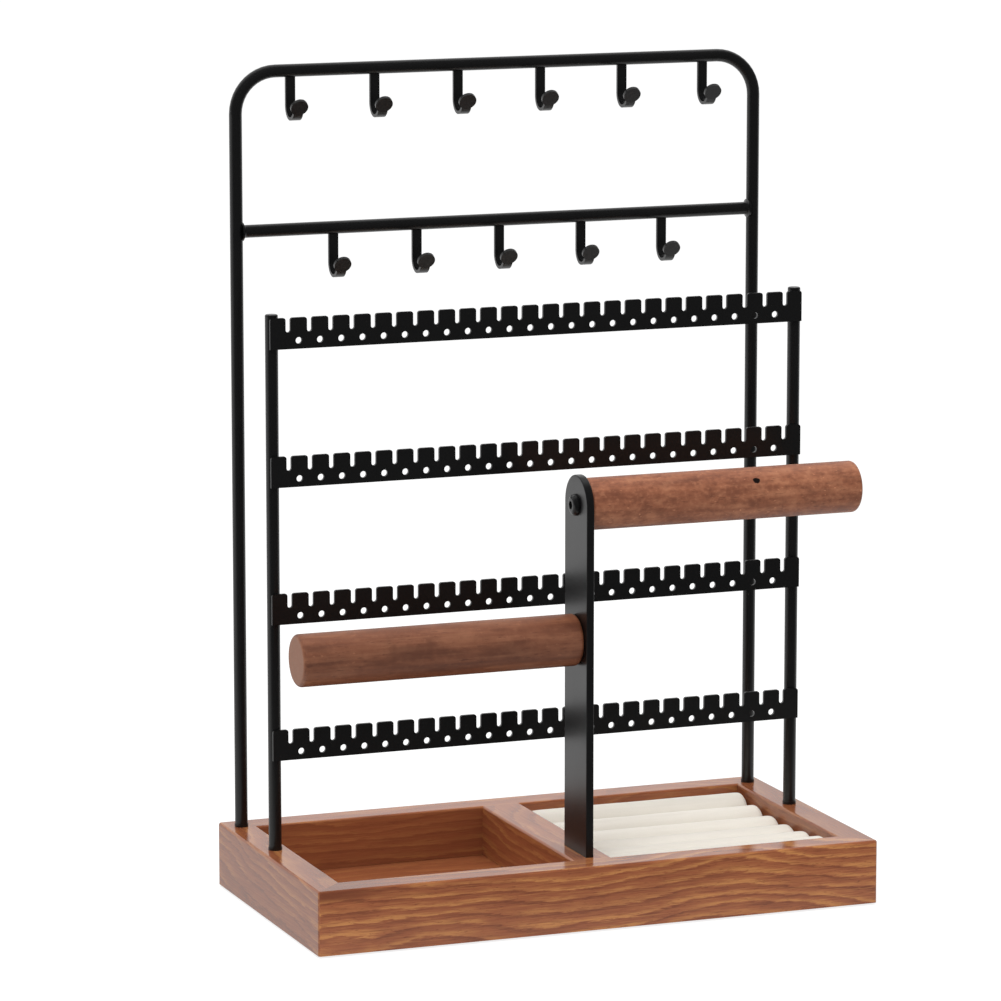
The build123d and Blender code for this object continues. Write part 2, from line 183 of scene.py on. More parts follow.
class StandCushion(bpy.types.PropertyGroup):
    """Velvet and filling of the ring cushion."""

    cloth: colour("Cloth", "Cream velvet", (0.83, 0.78, 0.70))
    brushed: colour("Brushed cloth", "Velvet brushed the other way", (0.74, 0.69, 0.61))
    nap: length("Nap", "Size of the velvet's tufts", 0.0004)
    band_length: length("Band length", "Length of a brushed band", 0.06)
    band_width: length("Band width", "Width of a brushed band", 0.004)
    slack: length("Slack", "How much smaller than its solid a roll is sewn", 0.0003)
    swell: length("Swell", "How far the filling may push the cloth out", 0.0005)
    ripple: length("Ripple", "Unevenness of the sewn rolls", 0.0005)
    end_round: length("End round", "Rounding of a roll's ends", 0.0045)
    filling: FloatProperty(name="Filling", description="Pressure of the filling", default=4.0, min=0.0)
    steps: IntProperty(name="Steps", description="Steps of the cloth simulation", default=14, min=2, max=40)


class StandStage(bpy.types.PropertyGroup):
    """Camera, floor and light."""

    camera_place: place("Camera place", "Where the camera stands", (-0.9795, -2.4813, 0.6746))
    camera_yaw: angle("Camera yaw", "How far the camera looks to the right of straight back", 21.047)
    camera_pitch: angle("Camera pitch", "How far the camera looks down", 9.985)
    lens: FloatProperty(name="Lens", description="Focal length", unit="CAMERA", default=192.8)
    key_place: place("Key place", "The key lamp's place from the middle of the stand", (-1.0, -1.6, 1.9))
    key_power: power("Key power", "Power of the lamp above the front", 22.0)
    top_place: place("Top place", "The top lamp's place from the middle of the stand", (0.0, 0.0, 1.6))
    top_power: power("Top power", "Power of the lamp overhead", 14.0)
    lamp_size: length("Lamp size", "Side of both square lamps", 1.2)
    ambient: share("Ambient light", "Strength of the soft light from all round", 0.72)
    front_gloss: share("Front gloss", "Brightness of what gloss shows of the room in front", 0.1)
    back_gloss: share("Back gloss", "Brightness of what gloss shows of the room behind", 0.93)


class Graph:
    """A socket in a node tree. Arithmetic on it adds Math nodes, and node() adds any other node."""

    def __init__(self, tree, socket=None):
        self.tree = tree
        self.socket = socket

    def __getitem__(self, output):
        """Another output of the same node."""
        return Graph(self.tree, self.socket.node.outputs[output])

    def node(self, kind, settings=None, inputs=None):
        """Add a node of a kind, set it, feed its sockets and return its first output."""
        made = self.tree.nodes.new(kind)
        for name, value in (settings or {}).items():
            setattr(made, name, value)
        for name, value in (inputs or {}).items():
            if isinstance(value, Graph):
                self.tree.links.new(value.socket, made.inputs[name])
            else:
                made.inputs[name].default_value = value
        return Graph(self.tree, made.outputs[0] if made.outputs else None)

    def math(self, operation, *values):
        """A Math node's result."""
        return self.node("ShaderNodeMath", {"operation": operation}, dict(enumerate(values)))

    def __add__(self, other):
        return self.math("ADD", self, other)

    def __radd__(self, other):
        return self.math("ADD", other, self)

    def __sub__(self, other):
        return self.math("SUBTRACT", self, other)

    def __rsub__(self, other):
        return self.math("SUBTRACT", other, self)

    def __mul__(self, other):
        return self.math("MULTIPLY", self, other)

    def __rmul__(self, other):
        return self.math("MULTIPLY", other, self)

    def __truediv__(self, other):
        return self.math("DIVIDE", self, other)

    def __rtruediv__(self, other):
        return self.math("DIVIDE", other, self)

    def __pow__(self, other):
        return self.math("POWER", self, other)

    def step(self, low, high):
        """A smooth step from 0 at low to 1 at high, which may be the lower of the two."""
        if low > high:
            return 1 - self.step(high, low)
        span = {"Value": self, "From Min": low, "From Max": high}
        return self.node("ShaderNodeMapRange", {"interpolation_type": "SMOOTHSTEP"}, span)

    def mix(self, first, second):
        """A blend of two colours, each a socket or a triple, by this factor."""
        colours = [c if isinstance(c, Graph) else (*c, 1.0) for c in (first, second)]
        return self.node("ShaderNodeMix", {"data_type": "RGBA"}, {0: self, 6: colours[0], 7: colours[1]})[2]


def new_material(name):
    """An empty node material and the graph that fills it."""
    material = bpy.data.materials.new(name)
    material.use_nodes = True
    material.node_tree.nodes.clear()
    return material, Graph(material.node_tree)


def finish_material(graph, inputs):
    """End a material in one shader with these inputs."""
    shader = graph.node("ShaderNodeBsdfPrincipled", inputs=inputs)
    graph.node("ShaderNodeOutputMaterial", inputs={"Surface": shader})


def painted(ground, *layers):
    """A ground colour under layers, each a mask and the colour that shows where the mask is 1."""
    for mask, tint in layers:
        ground = mask.mix(ground, tint)
    return ground


NOISE_MEAN = 0.5            # middle of a noise, which runs from 0 to 1
NOISE_SWING = 0.2           # how far from its middle a noise counts as a full crest or trough


def swings(noise, weight, light, dark):
    """Two layers for painted(): light on the crests of a noise and dark in its troughs, up to a weight."""
    crests = noise.step(NOISE_MEAN, NOISE_MEAN + NOISE_SWING)
    troughs = noise.step(NOISE_MEAN, NOISE_MEAN - NOISE_SWING)
    return (crests * weight, light), (troughs * weight, dark)


def scaled(tint, factor):
    """A colour made darker or lighter by a factor, no lighter than white."""
    return [min(1.0, factor * c) for c in tint]


def even_noise(graph, size, detail):
    """Noise from 0 to 1 with patches of this size on an object."""
    inputs = {"Vector": graph.node("ShaderNodeTexCoord")["Object"], "Scale": 1 / size, "Detail": detail}
    return graph.node("ShaderNodeTexNoise", inputs=inputs)


class Grain:
    """Places in a piece whose fibres run along an axis, and noise drawn out along them."""

    LAYER_STEP = 10.0       # how far apart the layers of noise are in the noise's own space

    def __init__(self, graph, axis, seed):
        spot = graph.node("ShaderNodeTexCoord")["Object"]
        axes = graph.node("ShaderNodeSeparateXYZ", inputs={"Vector": spot})
        self.graph = graph
        self.seed = seed
        self.layers = 0
        self.along = axes[axis]
        self.across = axes["X" if axis == "Y" else "Y"]
        self.up = axes["Z"]

    def noise(self, long, wide, detail=2.0):
        """Noise from 0 to 1 with patches this long and this wide, different at each call."""
        self.layers += 1
        sides = {"X": self.along / long, "Y": self.across / wide, "Z": self.up / wide}
        return self.graph.node("ShaderNodeTexNoise", {"noise_dimensions": "4D"}, {
            "Vector": self.graph.node("ShaderNodeCombineXYZ", inputs=sides),
            "W": self.seed + self.LAYER_STEP * self.layers,
            "Scale": 1.0,
            "Detail": detail,
        })

    def near(self, middle, reach):
        """1 at a place along the grain, falling to 0 at a reach from it."""
        away = self.graph.math("ABSOLUTE", self.along - middle)
        return away.step(reach, 0.0)


JAG_RINGS = 0.7             # how far fine jags move a year ring, in rings
BEND_RINGS = 0.9            # how far broader bends move it, in rings
EARLY_FULL = 0.1            # part of a ring at which its early wood is lightest
LATE_FROM = 0.6             # part of a ring at which early wood gives way to late wood
LATE_FULL = 0.95            # part of a ring at which its late wood is darkest
LATE_SHARE = 0.8            # how dark late wood is
FIBRE_SHARE = 0.6           # contrast of the fibres
STAIN_SHARE = 0.9           # how dark the stain is
CLOUD_SHARE = 0.3           # how dark the cloudy patches are
PORE_SHARE = 0.6            # how dark the pores of all the wood are


def rail_wood(name, axis, seed, figure, tone):
    """Lacquered wood with jagged year rings, fibres and pores.

    Figure is the contrast of the grain and tone the brightness of the wood, both from 0 to 1.
    """
    wood = bpy.context.scene.stand_wood
    light, middle, dark = (scaled(tint, tone) for tint in (wood.light, wood.middle, wood.dark))
    material, graph = new_material(name)
    grain = Grain(graph, axis, seed)
    wave = grain.noise(wood.wave_length, wood.wave_length / 3) - NOISE_MEAN
    jag = grain.noise(wood.ring_width, wood.ring_width / 10, detail=4.0) - NOISE_MEAN
    fibre = grain.noise(wood.fibre_length, wood.fibre_width, detail=3.0)
    pore = grain.noise(wood.fibre_length / 5, wood.fibre_width * 0.8).step(0.6, 0.7)
    patch = grain.noise(wood.fibre_length * 2, wood.ring_width * 2)
    cloud = grain.noise(wood.wave_length, wood.wave_length / 5)
    bend = grain.noise(wood.fibre_length * 2, wood.ring_width) - NOISE_MEAN
    hill = grain.near(wood.hill_place, wood.hill_reach) * wood.hill_height
    rise = grain.up - hill + grain.across * wood.ring_slope + wave * wood.wave_height
    ring = graph.math("FRACT", rise / wood.ring_width + jag * JAG_RINGS + bend * BEND_RINGS + seed)
    early = ring.step(0.0, EARLY_FULL) * ring.step(LATE_FROM, EARLY_FULL) * patch.step(0.3, 0.6)
    late = ring.step(LATE_FROM, LATE_FULL) * ring.step(1.0, LATE_FULL) * patch.step(0.75, 0.35)
    stain = grain.near(wood.stain_place, wood.stain_reach) * grain.up.step(wood.stain_foot, wood.stain_full)
    body = painted(
        middle,
        (early * figure, light),
        (late * (LATE_SHARE * figure), dark),
        (fibre.step(0.5, 0.8) * (FIBRE_SHARE * figure), light),
        (fibre.step(0.52, 0.25) * (FIBRE_SHARE * figure), dark),
        (stain * (STAIN_SHARE * figure), dark),
        (pore * (PORE_SHARE * figure), dark),
        (cloud.step(0.5, 0.25) * CLOUD_SHARE, dark),
    )
    relief = {"Strength": 0.12, "Distance": wood.fibre_width / 12, "Height": fibre - pore}
    finish_material(graph, {
        "Base Color": body,
        "Roughness": wood.lacquer + fibre * 0.08,
        "Normal": graph.node("ShaderNodeBump", inputs=relief),
        "IOR": 1.42,
    })
    return material


BAND_SHARE = 0.55           # contrast of the bars' soft bands
STREAK_SHARE = 0.45         # contrast of their streaks, halved on fully mottled wood
BLOTCH_SHARE = 0.65         # contrast of their blotches on fully mottled wood
SPECKLE_SHARE = 0.5         # contrast of their speckles on fully mottled wood
HEART_SHARE = 0.55          # how dark the lower bar's heart wood is
END_HIGHLIGHT_SHARE = 0.8             # how light the painted highlight on the rims of the bars' ends is
FLECK_GAIN = 1.3            # how much lighter flecks are than light wood
KNOT_TONE = 0.05            # brightness of the knot, as a share of dark wood's


def bar_wood(name, seed, bar, tone, mottle):
    """Varnished turned wood with soft bands, flecks and pores along X, and a painted highlight on the rims of
    its ends.

    Tone is the brightness of the wood and mottle the contrast of its blotches, both from 0 to 1.
    """
    wood = bpy.context.scene.stand_wood
    light, middle, dark = (scaled(tint, tone) for tint in (wood.bar_light, wood.bar_middle, wood.bar_dark))
    low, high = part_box(bar)
    material, graph = new_material(name)
    grain = Grain(graph, "X", seed)
    band = grain.noise(wood.fibre_length * 2, wood.fibre_length / 3, detail=3.0)
    streak = grain.noise(wood.fibre_length * 4, wood.fibre_width * 4, detail=3.0)
    blotch = grain.noise(wood.fibre_length / 2, wood.fibre_length / 3, detail=4.0)
    speckle = grain.noise(wood.fibre_width * 4, wood.fibre_width * 3, detail=4.0)
    fleck = grain.noise(wood.fibre_width * 4, wood.fibre_width * 2)
    pore = grain.noise(wood.fibre_length / 4, wood.fibre_width).step(0.62, 0.7)
    # painted highlight: a thin rim of light wood at both ends of the bar
    ends = graph.math("MAXIMUM", grain.near(low.x, wood.fibre_width), grain.near(high.x, wood.fibre_width))
    upper, lower = BARS
    knot_size = wood.knot_length, wood.knot_width
    heart_size = wood.heart_length, wood.heart_width
    knot = bar_spot(grain, upper, wood.knot_along, wood.knot_angle, *knot_size).step(1.2, 0.6)
    heart = bar_spot(grain, lower, wood.heart_along, wood.heart_angle, *heart_size).step(1.0, 0.0)
    body = painted(
        middle,
        *swings(band, BAND_SHARE, light, dark),
        *swings(streak, STREAK_SHARE * (1 - mottle / 2), light, dark),
        *swings(blotch, BLOTCH_SHARE * mottle, light, dark),
        *swings(speckle, SPECKLE_SHARE * mottle, light, dark),
        (fleck.step(0.64, 0.73) * band.step(0.4, 0.55) * mottle, scaled(light, FLECK_GAIN)),
        (pore * PORE_SHARE, dark),
        (heart * HEART_SHARE, dark),
        # painted highlight on the rims of the bar's ends
        (ends * END_HIGHLIGHT_SHARE, light),
        (knot, scaled(dark, KNOT_TONE)),
    )
    relief = {"Strength": 0.35, "Distance": wood.fibre_width / 8, "Height": speckle - pore - knot}
    finish_material(graph, {
        "Base Color": body,
        "Roughness": wood.varnish + speckle * 0.15 + knot * 0.4,
        "Normal": graph.node("ShaderNodeBump", inputs=relief),
        "IOR": 1.48,
    })
    return material


def bar_spot(grain, bar, along, turn, long, wide):
    """Squared distance of places from a spot on a bar's side, in half sizes of the spot and made ragged."""
    low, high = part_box(bar)
    radius = (high.z - low.z) / 2
    x = (grain.along - low.x - along * (high.x - low.x)) / (long / 2)
    y = (grain.across - low.y - radius * (1 - math.cos(turn))) / (wide / 2)
    z = (grain.up - low.z - radius * (1 + math.sin(turn))) / (wide / 2)
    ragged = grain.noise(wide / 2, wide / 2) * 2 - 1
    return x * x + y * y + z * z + ragged


def black_paint(name):
    """Black powder coat with a fine peel and duller patches."""
    steel = bpy.context.scene.stand_steel
    material, graph = new_material(name)
    peel = even_noise(graph, steel.peel, detail=2.0)
    cloud = even_noise(graph, steel.cloud, detail=2.0)
    relief = {"Strength": 0.5, "Distance": steel.peel_depth, "Height": peel}
    finish_material(graph, {
        "Base Color": cloud.mix(steel.paint, scaled(steel.paint, 1.5)),
        "Roughness": steel.gloss + cloud * 0.08 + peel * 0.04,
        "Normal": graph.node("ShaderNodeBump", inputs=relief),
        "IOR": 1.5,
    })
    return material


BRUSH_SHARE = 0.5           # contrast of the velvet's brushed bands
TUFT_SHARE = 0.2            # contrast of its tufts


def velvet(name):
    """Cream velvet, brushed in soft bands along X."""
    cushion = bpy.context.scene.stand_cushion
    material, graph = new_material(name)
    grain = Grain(graph, "X", seed=2.0)
    band = grain.noise(cushion.band_length, cushion.band_width, detail=3.0)
    nap = grain.noise(cushion.nap * 2, cushion.nap)
    brushed = band.step(0.35, 0.7) * BRUSH_SHARE + nap.step(0.4, 0.7) * TUFT_SHARE
    relief = {"Strength": 0.4, "Distance": cushion.nap / 4, "Height": nap + band}
    finish_material(graph, {
        "Base Color": brushed.mix(cushion.cloth, cushion.brushed),
        "Roughness": 0.8 + nap * 0.15,
        "Normal": graph.node("ShaderNodeBump", inputs=relief),
        "Sheen Weight": 0.25,
        "Sheen Roughness": 0.5,
        "Specular IOR Level": 0.2,
    })
    return material


def plain_finish(name, tint, roughness, metallic, speck_size):
    """Finish of a small or hidden piece: one colour with a fine unevenness."""
    material, graph = new_material(name)
    speck = even_noise(graph, speck_size, detail=3.0)
    relief = {"Strength": 0.3, "Distance": speck_size / 20, "Height": speck}
    finish_material(graph, {
        "Base Color": speck.mix(scaled(tint, 0.7), scaled(tint, 1.2)),
        "Roughness": roughness - 0.1 + speck * 0.2,
        "Metallic": metallic,
        "Normal": graph.node("ShaderNodeBump", inputs=relief),
    })
    return material


def black_rubber():
    """Dull rubber of the pads under the base."""
    return plain_finish("pad_rubber", (0.03, 0.03, 0.032), roughness=0.8, metallic=0.0, speck_size=0.0008)


def zinc(name):
    """Bright zinc of the hidden screws."""
    return plain_finish(name, (0.5, 0.5, 0.52), roughness=0.4, metallic=1.0, speck_size=0.0006)


def brass():
    """Brass of the inserts inside the bars."""
    return plain_finish("brass", (0.6, 0.42, 0.16), roughness=0.35, metallic=1.0, speck_size=0.0006)


def backing_board():
    """Pale board under the ring cushion."""
    return plain_finish("board", (0.5, 0.46, 0.38), roughness=0.8, metallic=0.0, speck_size=0.001)


def shared_paint():
    """The black paint that all the painted steel shares."""
    return bpy.data.materials.get("black_paint") or black_paint("black_paint")


def paint_nodes(names, material):
    """Put one material on these nodes."""
    for name in names:
        NODES[name].data.materials.clear()
        NODES[name].data.materials.append(material)


ROLL_INPUTS = {
    "Place": "NodeSocketVector",
    "Length": "NodeSocketFloat",
    "Width": "NodeSocketFloat",
    "Height": "NodeSocketFloat",
    "Pitch": "NodeSocketFloat",
    "Sag": "NodeSocketFloat",
    "Count": "NodeSocketInt",
    "End Round": "NodeSocketFloat",
    "Ripple": "NodeSocketFloat",
    "Material": "NodeSocketMaterial",
}
ROLL_POINTS_ALONG = 61
ROLL_POINTS_ROUND = 41
SEAM_GAP = 0.00001          # points of a roll closer than this are sewn together
FOOT_POWER = 0.45           # how square the foot of a roll is: 1 is round, 0 is square
END_POWER = 4.0             # how blunt the end of a roll is: 2 is round
END_HEIGHT_SHARE = 0.4      # height at which a roll's end is sewn shut, as a share of the roll's
RIPPLE_WIDTHS = 1.5         # length of a ripple, in widths of a roll


def rolls_tree():
    """A geometry node group: a row of padded rolls that are lower towards the middle of the row."""
    tree = bpy.data.node_groups.new("padded_rolls", "GeometryNodeTree")
    tree.interface.new_socket("Geometry", in_out="OUTPUT", socket_type="NodeSocketGeometry")
    for name, kind in ROLL_INPUTS.items():
        tree.interface.new_socket(name, in_out="INPUT", socket_type=kind)
    graph = Graph(tree)
    given = graph.node("NodeGroupInput")
    grid = graph.node("GeometryNodeMeshGrid", inputs={
        "Size X": 1.0,
        "Size Y": 1.0,
        "Vertices X": ROLL_POINTS_ALONG,
        "Vertices Y": ROLL_POINTS_ROUND,
    })
    bent = graph.node("GeometryNodeSetPosition", inputs={
        "Geometry": grid,
        "Position": roll_surface(graph, given, grid["UV Map"]),
    })
    roll = graph.node("GeometryNodeMergeByDistance", inputs={"Geometry": bent, "Distance": SEAM_GAP})
    first = graph.node("ShaderNodeCombineXYZ", inputs={"Y": (1 - given["Count"]) * given["Pitch"] / 2})
    start = graph.node("ShaderNodeVectorMath", {"operation": "ADD"}, {0: given["Place"], 1: first})
    line = graph.node("GeometryNodeMeshLine", {"mode": "OFFSET"}, {
        "Count": given["Count"],
        "Start Location": start,
        "Offset": graph.node("ShaderNodeCombineXYZ", inputs={"Y": given["Pitch"]}),
    })
    outward = 2 * graph.node("GeometryNodeInputIndex") / (given["Count"] - 1) - 1
    stretch = 1 - given["Sag"] / given["Height"] * (1 - outward * outward)
    row = graph.node("GeometryNodeInstanceOnPoints", inputs={
        "Points": line,
        "Instance": roll,
        "Scale": graph.node("ShaderNodeCombineXYZ", inputs={"X": 1.0, "Y": 1.0, "Z": stretch}),
    })
    rolls = graph.node("GeometryNodeRealizeInstances", inputs={"Geometry": row})
    rippled = graph.node("GeometryNodeSetPosition", inputs={
        "Geometry": rolls,
        "Offset": roll_ripple(graph, given),
    })
    smooth = graph.node("GeometryNodeSetShadeSmooth", inputs={"Geometry": rippled})
    clad = graph.node("GeometryNodeSetMaterial", inputs={"Geometry": smooth, "Material": given["Material"]})
    graph.node("NodeGroupOutput", inputs={"Geometry": clad})
    return tree


def roll_surface(graph, given, spot):
    """Where the spots of a flat unit grid go on a roll that lies along X with its foot at zero."""
    grid = graph.node("ShaderNodeSeparateXYZ", inputs={"Vector": spot})
    half_length = given["Length"] / 2
    half = given["Width"] / 2
    side = given["Height"] - half
    x = graph.math("COSINE", grid["X"] * math.pi) * half_length * -1
    end = graph.math("MINIMUM", (half_length - graph.math("ABSOLUTE", x)) / given["End Round"], 1.0)
    size = (1 - (1 - end) ** END_POWER) ** (1 / END_POWER)
    cosine = graph.math("COSINE", grid["Y"] * (-2 * math.pi))
    sine = graph.math("SINE", grid["Y"] * (-2 * math.pi))
    crown = graph.math("GREATER_THAN", sine, 0.0)
    squareness = FOOT_POWER + (1 - FOOT_POWER) * crown
    y = graph.math("SIGN", cosine) * graph.math("ABSOLUTE", cosine) ** squareness * half
    height = side + (half - side) * crown
    z = graph.math("SIGN", sine) * graph.math("ABSOLUTE", sine) ** squareness * height + side
    sewn = given["Height"] * END_HEIGHT_SHARE
    sides = {"X": x, "Y": y * size, "Z": sewn + (z - sewn) * size}
    return graph.node("ShaderNodeCombineXYZ", inputs=sides)


def roll_ripple(graph, given):
    """How far the points of the rolls stray from the even shape."""
    scale = 1 / (RIPPLE_WIDTHS * given["Width"])
    stray = graph.node("ShaderNodeTexNoise", inputs={"Scale": scale, "Detail": 1.0})["Color"]
    centred = graph.node("ShaderNodeVectorMath", {"operation": "SUBTRACT"}, {0: stray, 1: (NOISE_MEAN,) * 3})
    return graph.node("ShaderNodeVectorMath", {"operation": "SCALE"}, {0: centred, "Scale": given["Ripple"]})


def make_piece(context, name, tree, values):
    """A piece whose mesh is what a geometry node group makes of these values."""
    carrier = bpy.data.objects.new(f"{name}_carrier", bpy.data.meshes.new(f"{name}_carrier"))
    context.scene.collection.objects.link(carrier)
    modifier = carrier.modifiers.new("nodes", "NODES")
    modifier.node_group = tree
    for socket in tree.interface.items_tree:
        if socket.in_out == "INPUT":
            modifier[socket.identifier] = values[socket.name]
    made = carrier.evaluated_get(context.evaluated_depsgraph_get())
    piece = bpy.data.objects.new(name, bpy.data.meshes.new_from_object(made))
    bpy.data.objects.remove(carrier)
    context.scene.collection.objects.link(piece)
    return piece


SIMULATION_SCALE = 20.0     # the cloth is simulated this much larger, where its solver is steady


def fill_cloth(context, piece, cushion, low, high):
    """Let a filling push the cloth out by no more than the swell, inside a box."""
    mesh = piece.data
    sewn = [point.co.copy() for point in mesh.vertices]
    mesh.transform(Matrix.Scale(SIMULATION_SCALE, 4))
    cloth = piece.modifiers.new("filling", "CLOTH")
    cloth.settings.use_pressure = True
    cloth.settings.uniform_pressure_force = cushion.filling
    cloth.settings.effector_weights.gravity = 0.0
    cloth.point_cache.frame_end = cushion.steps
    for step in range(1, cushion.steps + 1):
        context.scene.frame_set(step)
    made = piece.evaluated_get(context.evaluated_depsgraph_get())
    filled = [point.co / SIMULATION_SCALE for point in made.data.vertices]
    if len(filled) != len(sewn):
        raise RuntimeError(f"The cloth of {piece.name} has {len(filled)} points, sewn with {len(sewn)}")
    piece.modifiers.remove(cloth)
    context.scene.frame_set(1)
    for point, start, end in zip(mesh.vertices, sewn, filled):
        move = end - start
        move.length = min(move.length, cushion.swell)
        point.co = [min(max(c, a), b) for c, a, b in zip(start + move, low, high)]
    mesh.update()


class StandBaseOperator(bpy.types.Operator):
    """Lacquer the rails, the divider and the floors, and finish the pads"""

    bl_idname = "stand.base"
    bl_label = "Base"

    SEED_STEP = 0.37        # how far apart the boards are in the wood that they are cut from

    def execute(self, context):
        for board, name in enumerate(RAILS + FLOORS):
            axis = "Y" if name in GRAIN_ALONG_Y else "X"
            figure = RAIL_FIGURES.get(name, FLOOR_FIGURE)
            # some of these tones are partly painted shade
            tone = DARKER_AND_SHADED_TONES.get(name, FULL_TONE)
            paint_nodes([name], rail_wood(f"{name}_wood", axis, self.SEED_STEP * board, figure, tone))
        paint_nodes(["base_pads"], black_rubber())
        return {"FINISHED"}


class StandFrameOperator(bpy.types.Operator):
    """Paint the necklace frame and its hooks"""

    bl_idname = "stand.necklace_frame"
    bl_label = "Necklace frame"

    def execute(self, context):
        paint_nodes(NECKLACE_FRAME, shared_paint())
        return {"FINISHED"}


class StandRackOperator(bpy.types.Operator):
    """Paint the earring rack and finish the fixings of the four legs"""

    bl_idname = "stand.earring_rack"
    bl_label = "Earring rack"

    def execute(self, context):
        paint_nodes([*EARRING_RACK, "leg_washers"], shared_paint())
        paint_nodes(["leg_screws"], zinc("leg_screw_zinc"))
        return {"FINISHED"}


class StandHolderOperator(bpy.types.Operator):
    """Paint the bracelet post, varnish its bars and finish its fixings"""

    bl_idname = "stand.bracelet_holder"
    bl_label = "Bracelet holder"

    SEED_STEP = 0.53        # how far apart the two bars are in the wood that they are turned from

    def execute(self, context):
        wood = context.scene.stand_wood
        paint_nodes(["bracelet_post", *BAR_SCREWS], shared_paint())
        upper, lower = BARS
        upper_wood = bar_wood("upper_bar_wood", 0.0, upper, wood.upper_tone, wood.upper_mottle)
        lower_wood = bar_wood("lower_bar_wood", self.SEED_STEP, lower, wood.lower_tone, wood.lower_mottle)
        paint_nodes([upper], upper_wood)
        paint_nodes([lower], lower_wood)
        paint_nodes(BAR_INSERTS, brass())
        paint_nodes(["post_foot_screws"], zinc("foot_screw_zinc"))
        return {"FINISHED"}


class StandCushionOperator(bpy.types.Operator):
    """Sew and fill the padded rolls of the ring cushion"""

    bl_idname = "stand.ring_cushion"
    bl_label = "Ring cushion"

    FILL_SHARE = 0.8        # how much of a roll its filling takes up

    def execute(self, context):
        cushion = context.scene.stand_cushion
        cloth = velvet("cream_velvet")
        paint_nodes(ROLLS, cloth)
        paint_nodes(["ring_cushion_board"], backing_board())
        boxes = [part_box(name) for name in ROLLS]
        rolls = make_piece(context, "ring_rolls", rolls_tree(), self.roll_sizes(boxes, cushion, cloth))
        room = Vector((cushion.swell, cushion.swell, 0))
        low = boxes[-1][0] - room
        high = boxes[0][1] + room + Vector((0, 0, cushion.swell))
        fill_cloth(context, rolls, cushion, low, high)
        finer = rolls.modifiers.new("finer", "SUBSURF")
        finer.levels = 1
        finer.render_levels = 1
        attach(rolls, "ring_cushion")
        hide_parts(*ROLLS)
        return {"FINISHED"}

    def roll_sizes(self, boxes, cushion, cloth):
        """The node group's values for rolls in these boxes, which run from the back to the front."""
        low, high = boxes[0]
        middle = (low + boxes[-1][1]) / 2
        middle_outward = 1 / (len(boxes) - 1)
        middle_top = boxes[len(boxes) // 2][1].z
        return {
            "Place": (middle.x, middle.y, low.z),
            "Length": high.x - low.x,
            "Width": high.y - low.y - cushion.slack,
            "Height": high.z - low.z - cushion.slack,
            "Pitch": low.y - boxes[1][0].y,
            "Sag": (high.z - middle_top) / (1 - middle_outward**2),
            "Count": len(boxes),
            "End Round": cushion.end_round,
            "Ripple": cushion.ripple,
            "Material": cloth,
        }


def ray_kinds(graph):
    """Whether a ray comes from the camera, and whether it shows the surroundings in a gloss."""
    path = graph.node("ShaderNodeLightPath")
    return path["Is Camera Ray"], path["Is Glossy Ray"]


